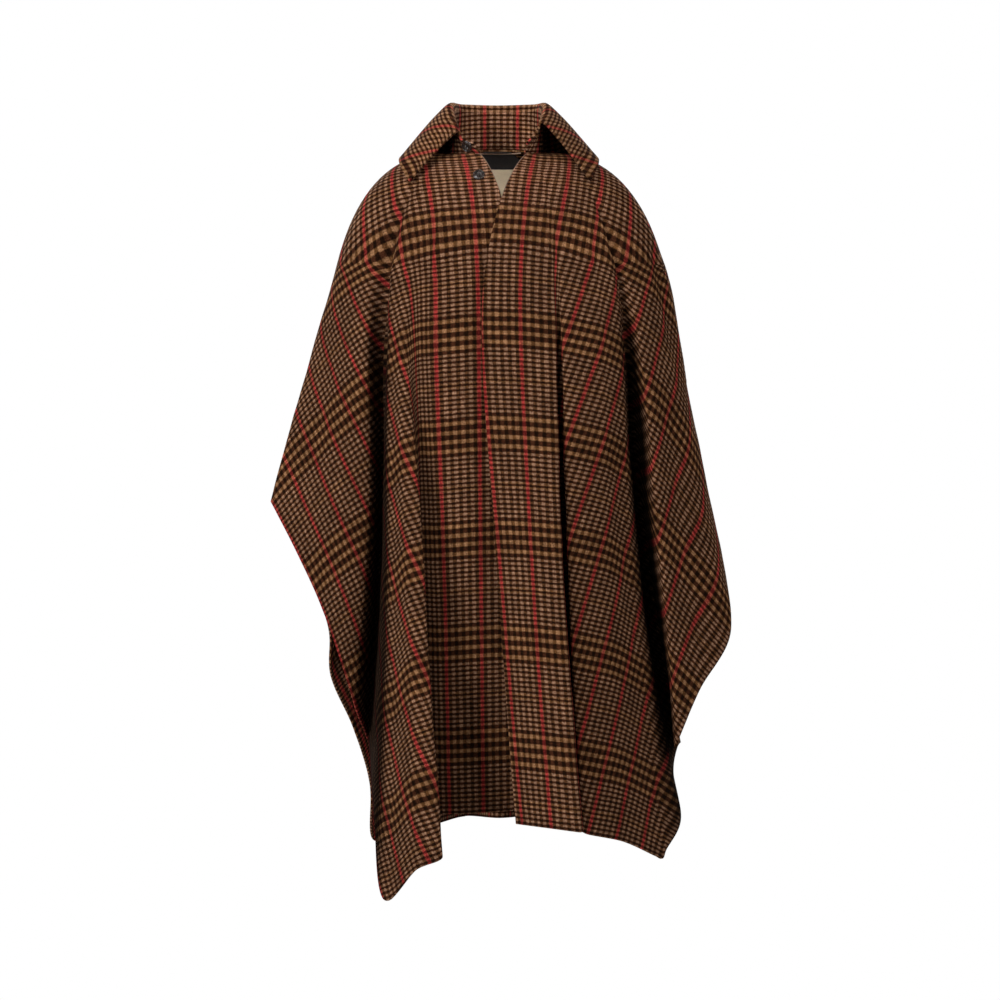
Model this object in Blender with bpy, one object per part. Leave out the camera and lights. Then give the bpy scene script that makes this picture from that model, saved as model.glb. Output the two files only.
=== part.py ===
"""A blanket cape with a shirt collar, worn and hollow, with no wearer.

Each panel is a cloth wall that hangs from a yoke line round the shoulders. A
short table gives one row for each fold: where it leaves the yoke line and
where it ends on the hem. Sizes are in millimetres. The origin is the middle
of the neck, X runs to the wearer's left and -Y to the front.
"""

import math
from collections import namedtuple

import bmesh
import bpy
from mathutils import Vector

MM = 0.001

# Cloth
CLOTH = 3.0
COLLAR_CLOTH = 3.4
PLACKET_CLOTH = 2.2
FACING_CLOTH = 1.2
LABEL_CLOTH = 0.8
SEAM_GAP = 0.3

# The lap: how far the left front lies over the right one, fading to nothing
# at this bearing
LAP_LIFT = 12.0
LAP_FADE = 24.0

# Neck seam: half width, depth to the front and back, and height at each
NECK_HALF_WIDTH = 70.0
NECK_FRONT = 62.0
NECK_BACK = 65.0
NECK_FRONT_HEIGHT = 10.0
NECK_SIDE_HEIGHT = 18.0
NECK_BACK_HEIGHT = 30.0
NECK_RIGHT_END = 25.0
NECK_LEFT_END = 40.0

# Yoke line: the level at which the cloth leaves the shoulders and hangs free
YOKE_RIGHT = 240.0
YOKE_LEFT = 253.0
YOKE_FRONT = 128.0
YOKE_BACK = 128.0
YOKE_HEIGHT = -150.0

# Roundness of the cloth between neck and yoke, across and down, at each side
FULL_ACROSS_FRONT = 0.65
FULL_ACROSS_SIDE = 0.745
FULL_ACROSS_BACK = 0.80
FULL_DOWN_FRONT = 0.25
FULL_DOWN_SIDE = -0.045
FULL_DOWN_BACK = 0.10

# How soon a fold line leaves the shoulder's slope below the yoke
SETTLE = 5

# Least openness at which a wall still keeps its thickness round a fold
SHARPEST_FOLD = 0.55

# Mesh steps, and the angle above which an edge is shaded sharp
SHARP_ANGLE = 50.0
YOKE_ROWS = 6
HANG_ROWS = 10

Fold = namedtuple("Fold", "name bearing tuck x y z bow_x bow_y steps")

# One row for each fold line. Bearings on the yoke line run from 0 at the front
# to +90 at the wearer's left and -90 at the right. The tuck draws the line in
# from the yoke, x, y and z are its place on the hem, and the bow is how far it
# stands off a straight line half-way down: a fold whose line bows with its
# neighbours opens lower. Steps are the mesh steps to the next line.
FRONT_RIGHT_FOLDS = (
    Fold("under edge", 6, 0, 38, -156, -953, 0, -12, 2),
    Fold("centre", -9, 0, -24, -160, -957, 0, -14, 2),
    Fold("recess", -23, 0, -76, -146, -960, 0, -18, 3),
    Fold("pocket going in", -26, 0, -136, -128, -958, 8, -26, 3),
    Fold("pocket coming out", -28.5, 0, -146, -206, -976, 14, -6, 3),
    Fold("front ridge", -31, 0, -76, -288, -1008, -6, 6, 3),
    Fold("front face", -33.5, 0, -114, -292, -1024, -4, 4, 2),
    Fold("corner", -36.5, 0, -161, -240, -1074, 2, 0, 2),
    Fold("flank", -39.5, 0, -180, -185, -936, 4, 0, 3),
    Fold("valley", -44.5, 14, -192, -42, -860, 4, 22, 3),
    Fold("wing lip", -49.5, 0, -209, -95, -804, 11, 0, 2),
    Fold("wing", -73, 0, -264, -75, -650, -3, 0, 3),
)
BACK_FOLDS = (
    Fold("right shoulder seam", -90, 0, -339, -5, -505, -2, 0, 2),
    Fold("right wing", -112, 0, -258, 54, -690, -4, 0, 2),
    Fold("right arm", -124, 0, -254, 78, -770, 0, 0, 2),
    Fold("right side", -135, 0, -221, 112, -852, 0, 0, 2),
    Fold("right flank", -143, 0, -197, 150, -940, 0, 0, 1),
    Fold("right corner", -149, 0, -194, 200, -1032, 0, 0, 2),
    Fold("right outer ridge", -155, 0, -150, 288, -1022, 0, 0, 4),
    Fold("right dip", -162, 4, -103, 164, -1006, 0, 8, 4),
    Fold("right inner ridge", -170, 0, -52, 292, -1004, 0, 0, 4),
    Fold("centre back", -180, 4, 4, 176, -996, 0, 8, 4),
    Fold("left inner ridge", -190, 0, 62, 296, -1004, 0, 0, 4),
    Fold("left dip", -199, 4, 112, 162, -1006, 0, 8, 4),
    Fold("left outer ridge", -207, 0, 165, 282, -1020, 0, 0, 2),
    Fold("left corner", -214, 0, 215, 205, -1032, 0, 0, 1),
    Fold("left flank", -220, 0, 232, 160, -950, 0, 0, 2),
    Fold("left side", -230, 0, 256, 120, -870, 0, 0, 2),
    Fold("left arm", -242, 0, 288, 85, -745, 2, 0, 2),
    Fold("left wing", -258, 0, 314, 50, -640, 3, 0, 2),
)
FRONT_LEFT_FOLDS = (
    Fold("left shoulder seam", -284, 0, 325, 15, -549, 3, 0, 2),
    Fold("wing tip", 68, 0, 348, -45, -696, -4, 0, 2),
    Fold("wing", 61, 0, 298, -100, -782, 0, 0, 2),
    Fold("wing lip", 48, 0, 262, -130, -861, 6, 0, 3),
    Fold("valley", 45.5, 8, 272, -6, -868, -10, 2, 3),
    Fold("inner flank", 43.5, 2, 262, -50, -906, -18, 0, 2),
    Fold("flank", 42, 0, 271, -85, -976, -16, 0, 2),
    Fold("corner side", 40.5, 0, 248, -124, -1015, -8, 0, 1),
    Fold("corner", 40, 0, 243, -132, -1026, -8, 0, 1),
    Fold("corner front", 39, 0, 233, -145, -1021, -7, 0, 2),
    Fold("side face", 34, 0, 184, -205, -994, -2, 0, 3),
    Fold("behind crease", 20.5, 0, 123, -256, -976, -4, 0, 2),
    Fold("pocket coming out", 20, 0, 130, -150, -970, -6, -6, 2),
    Fold("pocket bottom", 19.5, 0, 86, -128, -965, -8, -6, 2),
    Fold("pocket going in", 19, 0, 105, -212, -968, -8, -6, 2),
    Fold("front crease", 18.5, 0, 120, -290, -972, -9, 0, 2),
    Fold("front panel", 8, 0, 70, -270, -968, -7, 0, 3),
    Fold("lap edge", -3.5, 0, 27, -232, -966, -7, 0, 0),
)

Collar = namedtuple("Collar", "name neck x y z edge_bearing edge_reach")

# The collar's roll line round the neck, and where the leaf's edge lies on the
# panels: a bearing and a share of the way from the neck to the yoke line.
COLLAR_SECTIONS = (
    Collar("right point", -33, -58, -51, 42, -46, 0.50),
    Collar("right front", -60, -68, -25, 72, -68, 0.37),
    Collar("right side", -90, -69, 6, 90, -92, 0.31),
    Collar("right back", -132, -52, 55, 94, -128, 0.40),
    Collar("centre back", -180, 0, 76, 95, -180, 0.42),
    Collar("left back", -228, 55, 55, 94, -232, 0.40),
    Collar("left side", -270, 72, 6, 90, -268, 0.31),
    Collar("left front", -298, 72, -22, 75, -292, 0.37),
    Collar("left point", -317, 66, -50, 57, -313, 0.50),
)
# Ends of the collar stand in front of the leaf: neck bearing and top corner
STAND_RIGHT_END = (-21, Vector((-37, -61, 26)))
STAND_LEFT_END = (-321, Vector((46, -57, 27)))
NECK_SEAM_RISE = Vector((0, 0, 2 * SEAM_GAP))
COLLAR_STEPS = 3
STAND_ROWS = 3
LEAF_STEPS = 3
LEAF_CLEAR = 1.2
# The stand ends this far below and inside the roll line, and the leaf rounds
# over it by a share of its own depth
ROLL_DROP = 9.0
ROLL_DEPTH = 4.0
ROLL_SHARE = 0.24
ROLL_RISE = 2.5

# Steps along and down the panels by which their normal is worked out
NEXT_BEARING = 1.0
NEXT_SHARE = 0.02

# Buttons: bearing and share on the right front, row and column on the stand
BUTTON_RADIUS = 9.0
BUTTON_THICKNESS = 3.6
BUTTON_SIDES = 24
BUTTON_FRONT_PLACE = (-4.0, 0.33)
BUTTON_FRONT_SEAT = 0.8
BUTTON_COLLAR_COLUMN = 2
BUTTON_COLLAR_ROW = 2
BUTTON_COLLAR_SEAT = 0.8

# Rows and columns of the panels that the neck facing and the label lie under
FACING_ROWS = (0, 2)
LABEL_ROWS = (2, 4)
FACING_HALF_COLUMNS = 7
LABEL_HALF_COLUMNS = 3

COLOURS = {
    "check_wool": (0.085, 0.047, 0.026, 0.92, 0.0),
    "dark_tape": (0.012, 0.010, 0.010, 0.70, 0.0),
    "pale_label": (0.62, 0.55, 0.44, 0.60, 0.0),
    "dark_button": (0.016, 0.010, 0.008, 0.30, 0.0),
}


def mix(low, high, share):
    return low + (high - low) * share


def outward(point):
    return Vector((point.x, point.y, 0)).normalized()


def clear_scene():
    for item in list(bpy.data.objects):
        bpy.data.objects.remove(item, do_unlink=True)


def new_collection(name):
    collection = bpy.data.collections.new(name)
    bpy.context.scene.collection.children.link(collection)
    return collection


def finish(name):
    red, green, blue, roughness, metallic = COLOURS[name]
    material = bpy.data.materials.new(name)
    material.use_nodes = True
    shader = material.node_tree.nodes["Principled BSDF"]
    shader.inputs["Base Color"].default_value = (red, green, blue, 1.0)
    shader.inputs["Roughness"].default_value = roughness
    shader.inputs["Metallic"].default_value = metallic
    return material


def neck_point(bearing):
    turn = math.radians(bearing)
    ahead = math.cos(turn)
    depth = NECK_FRONT if ahead > 0 else NECK_BACK
    end_height = NECK_FRONT_HEIGHT if ahead > 0 else NECK_BACK_HEIGHT
    height = mix(NECK_SIDE_HEIGHT, end_height, abs(ahead))
    return Vector((NECK_HALF_WIDTH * math.sin(turn), -depth * ahead, height))


def yoke_point(bearing):
    turn = math.radians(bearing)
    across = math.sin(turn)
    ahead = math.cos(turn)
    half_width = YOKE_LEFT if across > 0 else YOKE_RIGHT
    depth = YOKE_FRONT if ahead > 0 else YOKE_BACK
    return Vector((half_width * across, -depth * ahead, YOKE_HEIGHT))


def neck_bearing(bearing, on_left):
    """Bearing on the neck seam of the fold that leaves the yoke at bearing."""
    if on_left and bearing > -90:
        return mix(NECK_LEFT_END, 90, bearing / 90)
    if on_left and bearing < -270:
        return mix(NECK_LEFT_END, 90, (bearing + 360) / 90) - 360
    if not on_left and bearing > -90:
        return -mix(NECK_RIGHT_END, 90, -bearing / 90)
    return bearing


def shoulder_curve(bearing, on_left):
    """Neck point, rounding point and yoke point of one fold line."""
    neck = neck_point(neck_bearing(bearing, on_left))
    yoke = yoke_point(bearing)
    turn = math.radians(bearing)
    ahead = math.cos(turn)
    sideways = math.sin(turn) ** 2
    across_end = FULL_ACROSS_FRONT if ahead > 0 else FULL_ACROSS_BACK
    down_end = FULL_DOWN_FRONT if ahead > 0 else FULL_DOWN_BACK
    across = mix(across_end, FULL_ACROSS_SIDE, sideways)
    down = mix(down_end, FULL_DOWN_SIDE, sideways)
    full = neck.lerp(yoke, across)
    full.z = mix(neck.z, yoke.z, down)
    if on_left and -90 < bearing < LAP_FADE:
        share = min(1.0, (LAP_FADE - bearing) / LAP_FADE)
        lift = LAP_LIFT * share * share * (3 - 2 * share)
        yoke.y -= lift
        full.y -= lift
    return neck, full, yoke


def on_shoulder(bearing, share, on_left):
    neck, full, yoke = shoulder_curve(bearing, on_left)
    return neck.lerp(full, share).lerp(full.lerp(yoke, share), share)


def fold_line(fold, on_left):
    """Points from the neck to the hem, with no corner where the cloth leaves the yoke."""
    neck, full, yoke = shoulder_curve(fold.bearing, on_left)
    yoke -= outward(yoke) * fold.tuck
    line = []
    for row in range(YOKE_ROWS):
        share = row / YOKE_ROWS
        line.append(neck.lerp(full, share).lerp(full.lerp(yoke, share), share))
    hang = Vector((fold.x, fold.y, fold.z)) - yoke
    bow = Vector((fold.bow_x, fold.bow_y, 0)) * 4
    shoulder_slope = (yoke - full) * (hang.z / (yoke.z - full.z))
    for row in range(HANG_ROWS + 1):
        share = row / HANG_ROWS
        settling = share * (1 - share) ** SETTLE
        point = yoke + hang * share + bow * share * (1 - share)
        line.append(point + (shoulder_slope - hang - bow) * settling)
    return line


def curve_through(points, steps):
    """Centripetal Catmull-Rom curve, with steps[i] steps between points i and i + 1."""
    ends = [points[0] * 2 - points[1]] + list(points) + [points[-1] * 2 - points[-2]]
    curve = [points[0].copy()]
    for index, count in enumerate(steps):
        a, b, c, d = ends[index:index + 4]
        t_b = (b - a).length ** 0.5
        t_c = t_b + (c - b).length ** 0.5
        t_d = t_c + (d - c).length ** 0.5
        for step in range(1, count + 1):
            t = mix(t_b, t_c, step / count)
            ab = a.lerp(b, t / t_b)
            bc = b.lerp(c, (t - t_b) / (t_c - t_b))
            cd = c.lerp(d, (t - t_c) / (t_d - t_c))
            abc = ab.lerp(bc, t / t_c)
            bcd = bc.lerp(cd, (t - t_b) / (t_d - t_b))
            curve.append(abc.lerp(bcd, (t - t_b) / (t_c - t_b)))
    return curve


def direction(before, here, after):
    """The way a line runs at a point, half-way between the ways to its neighbours."""
    return (here - before).normalized() + (after - here).normalized()


def normals_of(grid):
    """Normals of a grid of points, longer at a fold so that a wall keeps its thickness."""
    last_row = len(grid) - 1
    last_column = len(grid[0]) - 1
    normals = []
    for row, here in enumerate(grid):
        above = grid[max(row - 1, 0)]
        below = grid[min(row + 1, last_row)]
        line = []
        for column, point in enumerate(here):
            before = here[max(column - 1, 0)]
            after = here[min(column + 1, last_column)]
            across = direction(before, point, after)
            down = direction(above[column], point, below[column])
            openness = across.length / 2 if 0 < column < last_column else 1.0
            line.append(across.cross(down).normalized() / max(openness, SHARPEST_FOLD))
        normals.append(line)
    return normals


def moved(grid, normals, distance):
    return [
        [point + normal * distance for point, normal in zip(line, directions)]
        for line, directions in zip(grid, normals)
    ]


def cut(grid, rows, columns):
    return [line[columns[0]:columns[1] + 1] for line in grid[rows[0]:rows[1] + 1]]


def drawn_in(grid, at_start, at_end):
    """The grid with its first or last column drawn back by half a seam gap."""
    result = [list(line) for line in grid]
    for line in result:
        if at_start:
            line[0] = line[0] + (line[1] - line[0]).normalized() * SEAM_GAP / 2
        if at_end:
            line[-1] = line[-1] + (line[-2] - line[-1]).normalized() * SEAM_GAP / 2
    return result


def wall(name, outer, inner, material, collection):
    """A closed wall between two grids of points."""
    rows = len(outer) - 1
    columns = len(outer[0]) - 1
    mesh = bmesh.new()
    bmesh.ops.create_grid(mesh, x_segments=columns, y_segments=rows, size=0.5)
    layer = bmesh.ops.extrude_face_region(mesh, geom=mesh.faces[:], use_keep_orig=True)
    copied = {item for item in layer["geom"] if isinstance(item, bmesh.types.BMVert)}
    for vertex in mesh.verts:
        column = round((vertex.co.x + 0.5) * columns)
        row = round((vertex.co.y + 0.5) * rows)
        grid = inner if vertex in copied else outer
        vertex.co = grid[row][column] * MM
    bmesh.ops.recalc_face_normals(mesh, faces=mesh.faces[:])
    bmesh.ops.triangulate(mesh, faces=mesh.faces[:], quad_method="SHORT_EDGE")
    data = bpy.data.meshes.new(name)
    mesh.to_mesh(data)
    mesh.free()
    data.shade_smooth()
    data.set_sharp_from_angle(angle=math.radians(SHARP_ANGLE))
    data.materials.append(material)
    item = bpy.data.objects.new(name, data)
    collection.objects.link(item)
    return item


class Cape:
    """The cloth surface all round the cape, from one front edge to the other."""

    def __init__(self):
        folds = FRONT_RIGHT_FOLDS + BACK_FOLDS + FRONT_LEFT_FOLDS
        lines = [fold_line(fold, fold.bearing < -180) for fold in FRONT_RIGHT_FOLDS + BACK_FOLDS]
        lines += [fold_line(fold, True) for fold in FRONT_LEFT_FOLDS]
        steps = [fold.steps for fold in folds[:-1]]
        self.outer = [curve_through(level, steps) for level in zip(*lines)]
        self.normals = normals_of(self.outer)
        self.inner = moved(self.outer, self.normals, -CLOTH)
        self.rows = (0, YOKE_ROWS + HANG_ROWS)
        names = [fold.name for fold in folds]
        self.right_seam = sum(steps[:names.index("right shoulder seam")])
        self.centre_back = sum(steps[:names.index("centre back")])
        self.left_seam = sum(steps[:names.index("left shoulder seam")])
        self.placket_fold = sum(steps[:names.index("front panel")])
        self.last = sum(steps)

    def panel(self, name, columns, seams, material, collection):
        outer = drawn_in(cut(self.outer, self.rows, columns), *seams)
        inner = drawn_in(cut(self.inner, self.rows, columns), *seams)
        return wall(name, outer, inner, material, collection)

    def under(self, name, rows, columns, depth, thickness, material, collection):
        """A strip inside the panels, made from their points moved in."""
        directions = cut(self.normals, rows, columns)
        points = cut(self.outer, rows, columns)
        outer = moved(points, directions, -depth)
        inner = moved(points, directions, -depth - thickness)
        return wall(name, outer, inner, material, collection)


def build_panels(cape, wool, collection):
    cape.panel("front_right", (0, cape.right_seam), (False, True), wool, collection)
    cape.panel("back", (cape.right_seam, cape.left_seam), (True, True), wool, collection)
    cape.panel("front_left", (cape.left_seam, cape.last), (True, False), wool, collection)


def build_placket(cape, wool, collection):
    rows = (0, YOKE_ROWS + HANG_ROWS - 1)
    columns = (cape.placket_fold, cape.last)
    depth = CLOTH + SEAM_GAP
    cape.under("fly_placket", rows, columns, depth, PLACKET_CLOTH, wool, collection)


def build_neck_inside(cape, tape, label, collection):
    middle = cape.centre_back
    depth = CLOTH + SEAM_GAP
    columns = (middle - FACING_HALF_COLUMNS, middle + FACING_HALF_COLUMNS)
    cape.under("neck_facing", FACING_ROWS, columns, depth, FACING_CLOTH, tape, collection)
    columns = (middle - LABEL_HALF_COLUMNS, middle + LABEL_HALF_COLUMNS)
    cape.under("neck_label", LABEL_ROWS, columns, depth, LABEL_CLOTH, label, collection)


def panel_normal(bearing, share, on_left):
    here = on_shoulder(bearing, share, on_left)
    across = on_shoulder(bearing + NEXT_BEARING, share, on_left) - here
    down = on_shoulder(bearing, share + NEXT_SHARE, on_left) - here
    normal = down.cross(across).normalized()
    return normal if normal.z > 0 else -normal


def leaf_edge(section):
    on_left = section.edge_bearing < -180
    place = on_shoulder(section.edge_bearing, section.edge_reach, on_left)
    normal = panel_normal(section.edge_bearing, section.edge_reach, on_left)
    return place + normal * (COLLAR_CLOTH + LEAF_CLEAR)


def collar_lines():
    """Stand and leaf lines of each section, from the neck seam to the leaf's edge."""
    stands = []
    leaves = []
    for section in COLLAR_SECTIONS:
        roll = Vector((section.x, section.y, section.z))
        out = outward(roll)
        seam = neck_point(section.neck) + NECK_SEAM_RISE
        top = roll - out * ROLL_DEPTH - Vector((0, 0, ROLL_DROP))
        edge = leaf_edge(section)
        shoulder = roll.lerp(edge, ROLL_SHARE) + out * ROLL_RISE + Vector((0, 0, ROLL_RISE))
        stands.append([seam.lerp(top, row / STAND_ROWS) for row in range(STAND_ROWS + 1)])
        leaves.append(curve_through([top, roll, shoulder, edge], [LEAF_STEPS] * 3))
    ends = []
    for bearing, top in (STAND_RIGHT_END, STAND_LEFT_END):
        seam = neck_point(bearing) + NECK_SEAM_RISE
        ends.append([seam.lerp(top, row / STAND_ROWS) for row in range(STAND_ROWS + 1)])
    return [ends[0]] + stands + [ends[1]], leaves


def swept(lines):
    steps = [COLLAR_STEPS] * (len(lines) - 1)
    return [curve_through(level, steps) for level in zip(*lines)]


def build_collar(wool, collection):
    """Stand and leaf, from the stand's outside and the leaf's underside."""
    stands, leaves = collar_lines()
    stand_outside = swept(stands)
    stand_normals = normals_of(stand_outside)
    stand_inside = moved(stand_outside, stand_normals, COLLAR_CLOTH)
    wall("collar_stand", stand_outside, stand_inside, wool, collection)
    leaf_under = swept(leaves)
    leaf_normals = normals_of(leaf_under)
    # The leaf's seam edge follows the stand's top edge, just above it
    shared = slice(COLLAR_STEPS, -COLLAR_STEPS)
    edges = zip(stand_outside[-2][shared], stand_outside[-1][shared])
    leaf_under[0] = [high + (high - low).normalized() * SEAM_GAP for low, high in edges]
    leaf_normals[0] = stand_normals[-1][shared]
    leaf_top = moved(leaf_under, leaf_normals, COLLAR_CLOTH)
    wall("collar_leaf", leaf_under, leaf_top, wool, collection)
    return stand_outside


def build_button(name, place, normal, seat, material, collection):
    mesh = bmesh.new()
    bmesh.ops.create_cone(
        mesh,
        cap_ends=True,
        segments=BUTTON_SIDES,
        radius1=BUTTON_RADIUS * MM,
        radius2=BUTTON_RADIUS * MM,
        depth=BUTTON_THICKNESS * MM,
    )
    data = bpy.data.meshes.new(name)
    mesh.to_mesh(data)
    mesh.free()
    data.materials.append(material)
    item = bpy.data.objects.new(name, data)
    item.location = (place + normal * (seat + BUTTON_THICKNESS / 2)) * MM
    item.rotation_mode = "QUATERNION"
    item.rotation_quaternion = normal.to_track_quat("Z", "Y")
    collection.objects.link(item)


def build_buttons(stand_outside, material, collection):
    bearing, share = BUTTON_FRONT_PLACE
    place = on_shoulder(bearing, share, False)
    normal = panel_normal(bearing, share, False)
    build_button("button_front", place, normal, BUTTON_FRONT_SEAT, material, collection)
    place = stand_outside[BUTTON_COLLAR_ROW][BUTTON_COLLAR_COLUMN]
    normal = -normals_of(stand_outside)[BUTTON_COLLAR_ROW][BUTTON_COLLAR_COLUMN].normalized()
    build_button("button_collar", place, normal, BUTTON_COLLAR_SEAT, material, collection)


def main():
    clear_scene()
    collection = new_collection("blanket_cape")
    wool = finish("check_wool")
    tape = finish("dark_tape")
    label = finish("pale_label")
    button = finish("dark_button")
    cape = Cape()
    build_panels(cape, wool, collection)
    build_placket(cape, wool, collection)
    build_neck_inside(cape, tape, label, collection)
    stand_outside = build_collar(wool, collection)
    build_buttons(stand_outside, button, collection)


main()
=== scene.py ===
"""A blanket cape of checked wool, dressed for the picture.

The cloth hangs from a yoke line round the shoulders. A short table gives one
row for each fold, with its place on the hem and on the flat cut, so the check
follows the cloth. Sizes in the tables are in millimetres, with the origin in
the middle of the neck, X to the wearer's left and -Y to the front.
"""

import math
from collections import namedtuple

import bmesh
import bpy
import numpy as np
from bpy.props import FloatProperty, FloatVectorProperty, PointerProperty
from mathutils import Matrix, Vector, noise


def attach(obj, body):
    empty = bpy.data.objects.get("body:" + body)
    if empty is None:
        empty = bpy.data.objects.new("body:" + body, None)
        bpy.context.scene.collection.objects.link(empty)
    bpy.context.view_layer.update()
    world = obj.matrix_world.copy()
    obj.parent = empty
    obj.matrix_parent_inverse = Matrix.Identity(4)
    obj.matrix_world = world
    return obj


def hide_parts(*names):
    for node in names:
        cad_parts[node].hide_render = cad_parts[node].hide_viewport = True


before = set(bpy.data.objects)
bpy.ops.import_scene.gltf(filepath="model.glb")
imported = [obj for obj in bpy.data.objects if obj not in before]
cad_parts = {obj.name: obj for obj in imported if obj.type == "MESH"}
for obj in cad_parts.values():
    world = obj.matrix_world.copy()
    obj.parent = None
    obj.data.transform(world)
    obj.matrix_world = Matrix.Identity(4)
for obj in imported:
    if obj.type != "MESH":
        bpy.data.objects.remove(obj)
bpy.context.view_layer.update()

bl_info = {
    "name": "Blanket Cape",
    "version": (1, 0, 0),
    "blender": (4, 5, 0),
    "location": "View3D > Sidebar > Cape",
    "description": "Builds a checked wool blanket cape piece by piece",
    "category": "Object",
}

MM = 0.001
BODY = "root"

# Neck seam and yoke line, as the solids have them
LAP_LIFT = 12.0
LAP_FADE = 24.0
NECK_HALF_WIDTH = 70.0
NECK_FRONT = 62.0
NECK_BACK = 65.0
NECK_FRONT_HEIGHT = 10.0
NECK_SIDE_HEIGHT = 18.0
NECK_BACK_HEIGHT = 30.0
NECK_RIGHT_END = 25.0
NECK_LEFT_END = 40.0
YOKE_RIGHT = 240.0
YOKE_LEFT = 253.0
YOKE_DEPTH = 128.0
YOKE_HEIGHT = -150.0
FULL_ACROSS_FRONT = 0.65
FULL_ACROSS_SIDE = 0.745
FULL_ACROSS_BACK = 0.80
FULL_DOWN_FRONT = 0.25
FULL_DOWN_SIDE = -0.045
FULL_DOWN_BACK = 0.10
SETTLE = 5
YOKE_ARC_POINTS = 91
SHARPEST_FOLD = 0.55
SEAM_GAP = 0.3

# Mesh steps of the panels
SHOULDER_ROWS = 22
HANG_ROWS = 104
COLUMN_STEP = 6.5
FEWEST_COLUMNS = 4

# The flat cut: where the neck and yoke lines fall on it
CUT_NECK = 68.0
CUT_NECK_DROP_FRONT = 62.0
CUT_NECK_DROP_BACK = 15.0
CUT_YOKE = 294.0
CUT_YOKE_SIDE = 164.0
CUT_YOKE_FRONT = 243.0
CUT_YOKE_BACK = 215.0
CUT_LEAN = 8.0
CUT_EASE_ACROSS = 10
CUT_EASE_DOWN = 80
SEAM_RIGHT = -90.0
SEAM_LEFT = -284.0

Fold = namedtuple("Fold", "name bearing tuck x y z bow_x bow_y cut_u cut_v")

# One row for each fold line: bearing on the yoke line, how far it is drawn in
# there, its place on the hem, its bow, and its place on the flat cut's edge.
FRONT_RIGHT_FOLDS = (
    Fold("under edge", 6, 0, 38, -156, -953, 0, -12, 25, 1060),
    Fold("centre", -9, 0, -24, -160, -957, 0, -14, -40, 1060),
    Fold("recess", -23, 0, -76, -146, -960, 0, -18, -95, 1060),
    Fold("pocket going in", -26, 0, -136, -128, -958, 8, -26, -180, 1060),
    Fold("pocket coming out", -28.5, 0, -146, -206, -976, 14, -6, -320, 1060),
    Fold("front ridge", -31, 0, -76, -288, -1008, -6, 6, -440, 1060),
    Fold("front face", -33.5, 0, -114, -292, -1024, -4, 4, -485, 1060),
    Fold("corner", -36.5, 0, -161, -240, -1074, 2, 0, -572, 1070),
    Fold("flank", -39.5, 0, -180, -185, -936, 4, 0, -572, 915),
    Fold("valley", -44.5, 14, -192, -42, -860, 4, 22, -572, 760),
    Fold("wing lip", -49.5, 0, -209, -95, -804, 11, 0, -572, 690),
    Fold("wing", -73, 0, -264, -75, -650, -3, 0, -572, 535),
)
BACK_FOLDS = (
    Fold("right shoulder seam", -90, 0, -339, -5, -505, -2, 0, -572, 365),
    Fold("right wing", -112, 0, -258, 54, -690, -4, 0, -572, 590),
    Fold("right arm", -124, 0, -254, 78, -770, 0, 0, -572, 690),
    Fold("right side", -135, 0, -221, 112, -852, 0, 0, -572, 800),
    Fold("right flank", -143, 0, -197, 150, -940, 0, 0, -572, 920),
    Fold("right corner", -149, 0, -194, 200, -1032, 0, 0, -572, 1050),
    Fold("right outer ridge", -155, 0, -150, 288, -1022, 0, 0, -455, 1060),
    Fold("right dip", -162, 4, -103, 164, -1006, 0, 8, -310, 1060),
    Fold("right inner ridge", -170, 0, -52, 292, -1004, 0, 0, -150, 1060),
    Fold("centre back", -180, 4, 4, 176, -996, 0, 8, 0, 1060),
    Fold("left inner ridge", -190, 0, 62, 296, -1004, 0, 0, 150, 1060),
    Fold("left dip", -199, 4, 112, 162, -1006, 0, 8, 310, 1060),
    Fold("left outer ridge", -207, 0, 165, 282, -1020, 0, 0, 455, 1060),
    Fold("left corner", -214, 0, 215, 205, -1032, 0, 0, 572, 1050),
    Fold("left flank", -220, 0, 232, 160, -950, 0, 0, 572, 920),
    Fold("left side", -230, 0, 256, 120, -870, 0, 0, 572, 800),
    Fold("left arm", -242, 0, 288, 85, -745, 2, 0, 572, 690),
    Fold("left wing", -258, 0, 314, 50, -640, 3, 0, 572, 590),
)
FRONT_LEFT_FOLDS = (
    Fold("left shoulder seam", -284, 0, 325, 15, -549, 3, 0, 572, 365),
    Fold("wing tip", 68, 0, 348, -45, -696, -4, 0, 572, 519),
    Fold("wing", 61, 0, 298, -100, -782, 0, 0, 572, 633),
    Fold("left lip", 48, 0, 262, -130, -861, 6, 0, 572, 725),
    Fold("left valley", 45.5, 8, 272, -6, -868, -10, 2, 572, 850),
    Fold("inner flank", 43.5, 2, 262, -50, -906, -18, 0, 572, 908),
    Fold("left front flank", 42, 0, 271, -85, -976, -16, 0, 572, 987),
    Fold("corner side", 40.5, 0, 248, -124, -1015, -8, 0, 572, 1048),
    Fold("corner", 40, 0, 243, -132, -1026, -8, 0, 572, 1062),
    Fold("corner front", 39, 0, 233, -145, -1021, -7, 0, 559, 1061),
    Fold("side face", 34, 0, 184, -205, -994, -2, 0, 492, 1060),
    Fold("behind crease", 20.5, 0, 123, -256, -976, -4, 0, 410, 1060),
    Fold("pocket coming out", 20, 0, 130, -150, -970, -6, -6, 304, 1060),
    Fold("pocket bottom", 19.5, 0, 86, -128, -965, -8, -6, 255, 1060),
    Fold("pocket going in", 19, 0, 105, -212, -968, -8, -6, 169, 1060),
    Fold("front crease", 18.5, 0, 120, -290, -972, -9, 0, 90, 1060),
    Fold("front panel", 8, 0, 70, -270, -968, -7, 0, 35, 1060),
    Fold("lap edge", -3.5, 0, 27, -232, -966, -7, 0, -22, 1060),
)

Collar = namedtuple("Collar", "name neck x y z edge_bearing edge_reach")

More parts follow.
